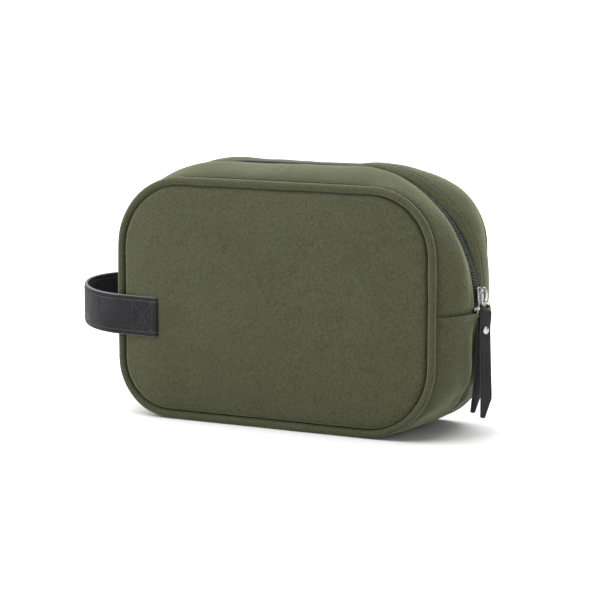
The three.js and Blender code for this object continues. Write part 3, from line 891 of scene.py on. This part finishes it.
outer, normal = base_surface()
inner = outer - normal * 3.9
inner[:4] = outer[:4] - normal[:4] * 1.8
inner[-4:] = outer[-4:] - normal[-4:] * 1.8
base = sheet_piece("base_gusset_padded", lay_on_floor(outer), inner, suede)
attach(base, "bag_body")
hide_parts("base_gusset", "base_foam")

skin, normal = gusset_surface(BASE_SPAN, np.linspace(-37, 37, 19), LINING_DEPTH)
base_lining = sheet_piece("base_lining_cloth", skin, skin - normal * LINING_THICK, lining_cloth)
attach(base_lining, "bag_body")
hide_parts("base_lining")

for index, place in ((2 * QUARTER, "left"), (0, "right")):
    below = np.arange(1, 40) if place == "left" else np.arange(-1, -40, -1)
    span = (index + below) % (4 * QUARTER)
    rows, normals = gusset_surface(span, np.linspace(-36.5, 36.5, 60))
    nearest = np.argmin(np.abs(SEAM_Z - rows[..., 2] - LAP_STITCH), axis=0)
    columns = np.arange(rows.shape[1])
    line, out = rows[nearest, columns], normals[nearest, columns]
    bump = 1.4 * np.exp(-((line[:, 1:2] / 11) ** 2)) * math.exp(-((LAP_STITCH / 7) ** 2))
    roll = LAP * math.exp(-((LAP_STITCH / 5.2) ** 4)) - 0.45
    line = line + out * (roll + bump + gusset_wobble(line, 0.4)[:, None])
    thread = stitches(f"base_topstitch_{place}", line, out, suede_thread, 3.2, 0.3)
    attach(thread, "bag_body")

# ---- Handle -------------------------------------------------------------


def strap_path():
    """The strap's centre line: flat on the front panel, bowed round the end, flat on the rear."""
    flat = np.linspace(0, 1, 14, endpoint=False)
    x = STRAP_END_X + (STRAP_LEAVES_X - STRAP_END_X) * flat
    y = STRAP_END_Y + (STRAP_LEAVES_Y - STRAP_END_Y) * flat
    front = np.stack([x, -y, 0 * x], -1)
    turn = np.linspace(0, math.pi, 71)
    bow = np.stack(
        [
            STRAP_LEAVES_X - STRAP_REACH * np.sin(turn),
            -STRAP_LEAVES_Y * np.cos(turn),
            STRAP_LIFT * (1 - np.cos(turn)) / 2 + STRAP_ARCH * np.sin(turn) ** 2,
        ],
        -1,
    )
    rear = front[::-1] * np.array([1, -1, 1]) + np.array([0, 0, STRAP_LIFT])
    return np.concatenate([front, bow, rear])


def strap_frame():
    path = strap_path()
    along = unit(np.gradient(path, axis=0) * np.array([1, 1, 0]))
    out = np.stack([-along[:, 1], along[:, 0], 0 * along[:, 0]], -1)
    flip = np.sign(np.sum(out * (path - np.array([-90, 0, 0])), axis=1, keepdims=True))
    return path, out * flip


path, out = strap_frame()
height = np.array([0, 0.35, 0.8, 1.3, 1.7, 2.0, 2.3, 2.8])
middle = np.linspace(4.5, STRAP_HEIGHT - 4.5, 9)
height = np.concatenate([height, middle, STRAP_HEIGHT - height[::-1]])
centre_h = height - STRAP_HEIGHT / 2
groove = 0.25 * np.exp(-((np.minimum(height, STRAP_HEIGHT - height) - 1.95) ** 2) / 0.12)
pillow = 0.25 * (1 - (centre_h / (STRAP_HEIGHT / 2)) ** 4)
half = STRAP_THICK / 2 - 0.25
faces_out = []
for sign in (1, -1):
    offset = half + pillow - groove
    skin = path[:, None] + sign * out[:, None] * offset[None, :, None]
    skin[..., 2] += STRAP_BOTTOM + height[None, :]
    faces_out.append(skin)
handle = sheet_piece("handle_strap", faces_out[0], faces_out[1], leather)
handle.data.materials.append(leather_edge)
# The strap's top and bottom edges take the edge colour, which is partly a painted highlight.
for face in handle.data.polygons:
    if abs(face.normal.z) > 0.45:
        face.material_index = 1
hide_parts("handle_outer", "handle_inner")
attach(handle, "bag_body")

for name, level in (("low", 1.95), ("high", STRAP_HEIGHT - 1.95)):
    row = path[3:-3] + out[3:-3] * (STRAP_THICK / 2 - 0.12)
    row[:, 2] += STRAP_BOTTOM + level
    thread = stitches(f"handle_stitch_{name}", row, out[3:-3], leather_thread, 2.6, 0.22)
    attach(thread, "bag_body")


def on_strap(side, x, level):
    """A point on the strap's outer face over a panel."""
    share = (x - STRAP_END_X) / (STRAP_LEAVES_X - STRAP_END_X)
    y = STRAP_END_Y + (STRAP_LEAVES_Y - STRAP_END_Y) * share
    lift = STRAP_LIFT if side > 0 else 0
    return (x, side * (y + STRAP_THICK / 2 + 0.02), STRAP_BOTTOM + lift + level)


for side, place in ((-1, "front"), (1, "rear")):
    left, right, low, high = -103.5, -87.3, 2.6, STRAP_HEIGHT - 2.6
    for number, (a, b) in enumerate(
        (
            ((left, low), (left, high)),
            ((right, low), (right, high)),
            ((left, low), (right, high)),
            ((left, high), (right, low)),
        )
    ):
        ends = [on_strap(side, *a), on_strap(side, *b)]
        thread = stitches(
            f"handle_box_{place}_{number}", ends, (0, side, 0), leather_thread, 2.6, 0.22
        )
        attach(thread, "bag_body")

# ---- Slider -------------------------------------------------------------

slider_place = (
    Matrix.Translation((ZIP_CENTRE[0], 0, ZIP_CENTRE[1]))
    @ Matrix.Rotation(-SLIDER_ANGLE, 4, "Y")
    @ Matrix.Translation((ZIP_RADIUS, 0, 0))
)


def place_points(points, matrix):
    rotation = np.array(matrix)[:3, :3]
    return np.asarray(points) @ rotation.T + np.array(matrix)[:3, 3]


def extruded(name, ring, low, high, bevel):
    """A metal profile in the slider's YZ plane, extruded along its X axis and bevelled."""
    ring = np.asarray(ring, float)
    count = len(ring)
    points = np.zeros((2 * count, 3))
    points[:, 1:] = np.concatenate([ring, ring])
    points[:, 0] = np.repeat([low, high], count)
    faces = [list(range(count)), list(range(count, 2 * count))]
    for i in range(count):
        j = (i + 1) % count
        faces.append([i, j, count + j, count + i])
    obj = make_piece(name, place_points(points, slider_place), faces, metal)
    settings = {"width": bevel * MM, "segments": 3, "limit_method": "ANGLE", "angle_limit": 0.6}
    return bake(obj, ("BEVEL", settings))


def smooth_ring(points, steps):
    """Rounds a closed polygon's corners by cutting them, as many times as steps says."""
    ring = np.asarray(points, float)
    for _ in range(steps):
        after = np.roll(ring, -1, 0)
        ring = np.stack([0.75 * ring + 0.25 * after, 0.25 * ring + 0.75 * after], 1).reshape(-1, 2)
    return ring


plate = smooth_ring(
    [(-3.5, 5.5), (-3.6, 3), (-4.3, 0), (-4.3, -3.6), (-3, -5.6), (0, -5.2), (3, -5.6)]
    + [(4.3, -3.6), (4.3, 0), (3.6, 3), (3.5, 5.5)],
    2,
)
top_plate = extruded("slider_top_plate", plate, 1.5, 2.5, 0.35)
low_plate = extruded("slider_low_plate", plate, -3.8, -2.8, 0.3)
post = smooth_ring([(-0.32, -1.4), (-0.32, -4.4), (0.32, -4.4), (0.32, -1.4)], 1)
wedge = extruded("slider_wedge", post, -3.2, 2.0, 0.05)

arch_outer = [(2.4, -4.7), (4.6, -4.6), (6.4, -3.0), (7.0, -0.6), (7.0, 2.6), (6.6, 4.6), (5.2, 5.2)]
arch_outer += [(2.4, 5.1)]
arch_inner = [(3.6, -2.9), (5.2, -2.7), (6.1, -1.2), (6.1, 3.0), (5.6, 4.1), (3.6, 4.1)]


def arch_piece(name, half_width):
    """The bridge: a bent bar from the plate's mouth end, over the eye, to its tail end."""
    outer_ring = smooth_ring(arch_outer, 3)
    inner_ring = smooth_ring(arch_inner, 3)
    angle = np.linspace(0, 2 * math.pi, 64, endpoint=False)

    def around(ring):
        centre = np.array([4.8, 0.6])
        offset = ring - centre
        turn = np.unwrap(np.arctan2(offset[:, 1], offset[:, 0]))
        order = np.argsort(turn % (2 * math.pi))
        turn, ring_sorted = (turn % (2 * math.pi))[order], ring[order]
        return np.stack(
            [np.interp(angle, turn, ring_sorted[:, i], period=2 * math.pi) for i in range(2)], -1
        )

    outer_loop, inner_loop = around(outer_ring), around(inner_ring)
    section = [(0, -1), (0, 1), (1, 1), (1, -1)]
    rings = []
    for share, sign in section:
        loop = outer_loop + (inner_loop - outer_loop) * share
        rings.append(np.stack([loop[:, 0], np.full(64, sign * half_width), loop[:, 1]], -1))
    points = np.stack(rings, 1).reshape(-1, 3)
    faces = grid_faces(64, 4, True, True)
    obj = make_piece(name, place_points(points, slider_place), faces, metal)
    settings = {"width": 0.35 * MM, "segments": 3, "limit_method": "ANGLE", "angle_limit": 0.8}
    return bake(obj, ("BEVEL", settings))


bridge = arch_piece("slider_arch", 1.05)
for piece in (top_plate, low_plate, wedge, bridge):
    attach(piece, "zip_slider")
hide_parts("slider_body")
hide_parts("slider_bridge")

# ---- Link, ring, pull and rivet -----------------------------------------

eye = np.array(slider_place @ Vector((EYE[0], 0, EYE[1])))


def wire_loop(name, outline_yz, radius, yaw, origin):
    ring = smooth_ring(outline_yz, 3)
    points = np.stack([0 * ring[:, 0], ring[:, 0], ring[:, 1]], -1)
    turn = Matrix.Rotation(yaw, 4, "Z")
    points = place_points(points, turn) + origin
    normal = place_points([(1, 0, 0)], turn)[0]
    return tube_piece(name, points, metal, radius, 12, True, normal)


link = wire_loop(
    "pull_link_wire",
    [(-2.3, 0), (2.3, 0), (3.3, -0.8), (3.45, -3), (3.65, -7.6), (3.0, -9.6), (-3.0, -9.6)]
    + [(-3.65, -7.6), (-3.45, -3), (-3.3, -0.8)],
    0.46,
    0,
    eye,
)
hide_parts("pull_link")
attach(link, "pull_link")

ring_top = eye - np.array([0, 0, LINK_LENGTH - RING_RISE])
ring = wire_loop(
    "pull_ring_wire",
    [(-4.2, 0), (4.2, 0), (4.8, -0.6), (6.15, -6.5), (5.5, -7.2), (-5.5, -7.2)]
    + [(-6.15, -6.5), (-4.8, -0.6)],
    0.42,
    RING_YAW,
    ring_top,
)
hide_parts("pull_ring")
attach(ring, "pull_ring")

pull_origin = ring_top - np.array([0, 0, RING_LENGTH])
pull_turn = Matrix.Rotation(PULL_YAW, 4, "Z")
TIP_Z = FOLD_RADIUS + PULL_THICK - PULL_LENGTH


def pull_line(sign):
    """One tail's inner face from the fold down: [x, z], spreading below the rivet."""
    x = [FOLD_RADIUS, 0.85, 0.4, 0.15, 0.15, 0.5, 1.0, 1.6, 2.0]
    if sign < 0:
        x = [FOLD_RADIUS, 0.95, 0.8, 0.6, 0.7, 1.2, 2.4, 4.4, 5.6]
    z = [0, -3, -6, -RIVET_DROP + 2, -RIVET_DROP - 2, -22, -36, -56, TIP_Z]
    fine_z = np.concatenate([np.linspace(0, -16, 17), np.linspace(-18, TIP_Z, 30)])
    smooth_x = np.interp(fine_z, z[::-1], x[::-1])
    kernel = np.array([1, 2, 3, 2, 1]) / 9
    padded = np.concatenate([smooth_x[:1].repeat(2), smooth_x, smooth_x[-1:].repeat(2)])
    smooth_x = np.convolve(padded, kernel, "valid")
    return np.stack([sign * smooth_x, fine_z], -1)


arc = np.linspace(0, math.pi, 15)[1:-1]
fold = np.stack([FOLD_RADIUS * np.cos(arc), FOLD_RADIUS * np.sin(arc)], -1)
inner_xz = np.concatenate([pull_line(1)[::-1], fold, pull_line(-1)])
along = unit(np.gradient(inner_xz, axis=0))
out_xz = np.stack([along[:, 1], -along[:, 0]], -1)
half_width = PULL_WIDTH / 2
y = np.concatenate([[-1, -0.96, -0.9], np.linspace(-0.75, 0.75, 7), [0.9, 0.96, 1]]) * half_width
# The tails end on a slant: long at the front edge, short at the rear edge.
slant = np.clip((y + 1.3) / (half_width + 1.3), 0, 1) * 12 + 0.8 * np.clip((-1.3 - y) / 3, 0, 1)


def pull_skin(offset):
    xz = inner_xz + out_xz * offset
    rows = np.zeros((len(xz), len(y), 3))
    rows[..., 0] = xz[:, 0, None]
    z = np.broadcast_to(xz[:, 1, None], rows.shape[:2])
    rows[..., 1] = y[None] * (0.95 + 0.05 * np.clip((-8 - z) / 30, 0, 1))
    shorter = 2.2 * (xz[:, 0, None] < 0)
    stop = TIP_Z + 0.9 + shorter + slant[None, :]
    shrink = np.clip((z + 40) / (TIP_Z + 40), 0, 1)
    rows[..., 2] = z + shrink * (stop - TIP_Z)
    rows[..., 0] += 0.35 * np.sin(rows[..., 2] / 9) * shrink
    return rows


skin_out = place_points(pull_skin(PULL_THICK).reshape(-1, 3), pull_turn) + pull_origin
skin_in = place_points(pull_skin(0.0).reshape(-1, 3), pull_turn) + pull_origin
shape = (len(inner_xz), len(y), 3)
strap = sheet_piece("pull_leather", skin_out.reshape(shape), skin_in.reshape(shape), leather)
strap.data.materials.append(leather_edge)
side_axis = Vector((0, 1, 0))
side_axis.rotate(pull_turn)
# The pull's cut edges take the edge colour, which is partly a painted highlight.
for face in strap.data.polygons:
    if abs(face.normal.dot(side_axis)) > 0.75:
        face.material_index = 1
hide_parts("pull_strap")
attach(strap, "leather_pull")


def turned(name, profile, height_sign):
    """A turned piece about the rivet's axis, from [radius, height] points."""
    sides = 40
    angle = np.linspace(0, 2 * math.pi, sides, endpoint=False)
    rings = []
    for radius, height_ in profile:
        ring_points = np.stack(
            [
                np.full(sides, height_sign * height_),
                radius * np.cos(angle),
                radius * np.sin(angle) - RIVET_DROP,
            ],
            -1,
        )
        rings.append(place_points(ring_points, pull_turn) + pull_origin)
    faces = list(grid_faces(len(rings), sides, True))
    return make_piece(name, np.concatenate(rings), faces, metal, merge=0.003)


cap_foot = 1.65
cap = turned(
    "rivet_dome",
    [(0, -2.1), (0.8, -2.1), (0.8, cap_foot), (2.4, cap_foot), (2.6, cap_foot + 0.15)]
    + [(2.6, cap_foot + 0.3), (2.45, cap_foot + 0.5), (2.0, cap_foot + 0.82)]
    + [(1.5, cap_foot + 1.02), (0.75, cap_foot + 1.12), (0, cap_foot + 1.15)],
    1,
)
back_cap = turned(
    "rivet_back_disc",
    [(0, 2.0), (2.3, 2.15), (2.5, 2.3), (2.5, 2.6), (2.2, 2.85), (1.1, 2.92), (0.9, 2.75), (0, 2.7)],
    -1,
)
for piece, node in ((cap, "rivet_cap"), (back_cap, "rivet_back")):
    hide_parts(node)
    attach(piece, "leather_pull")
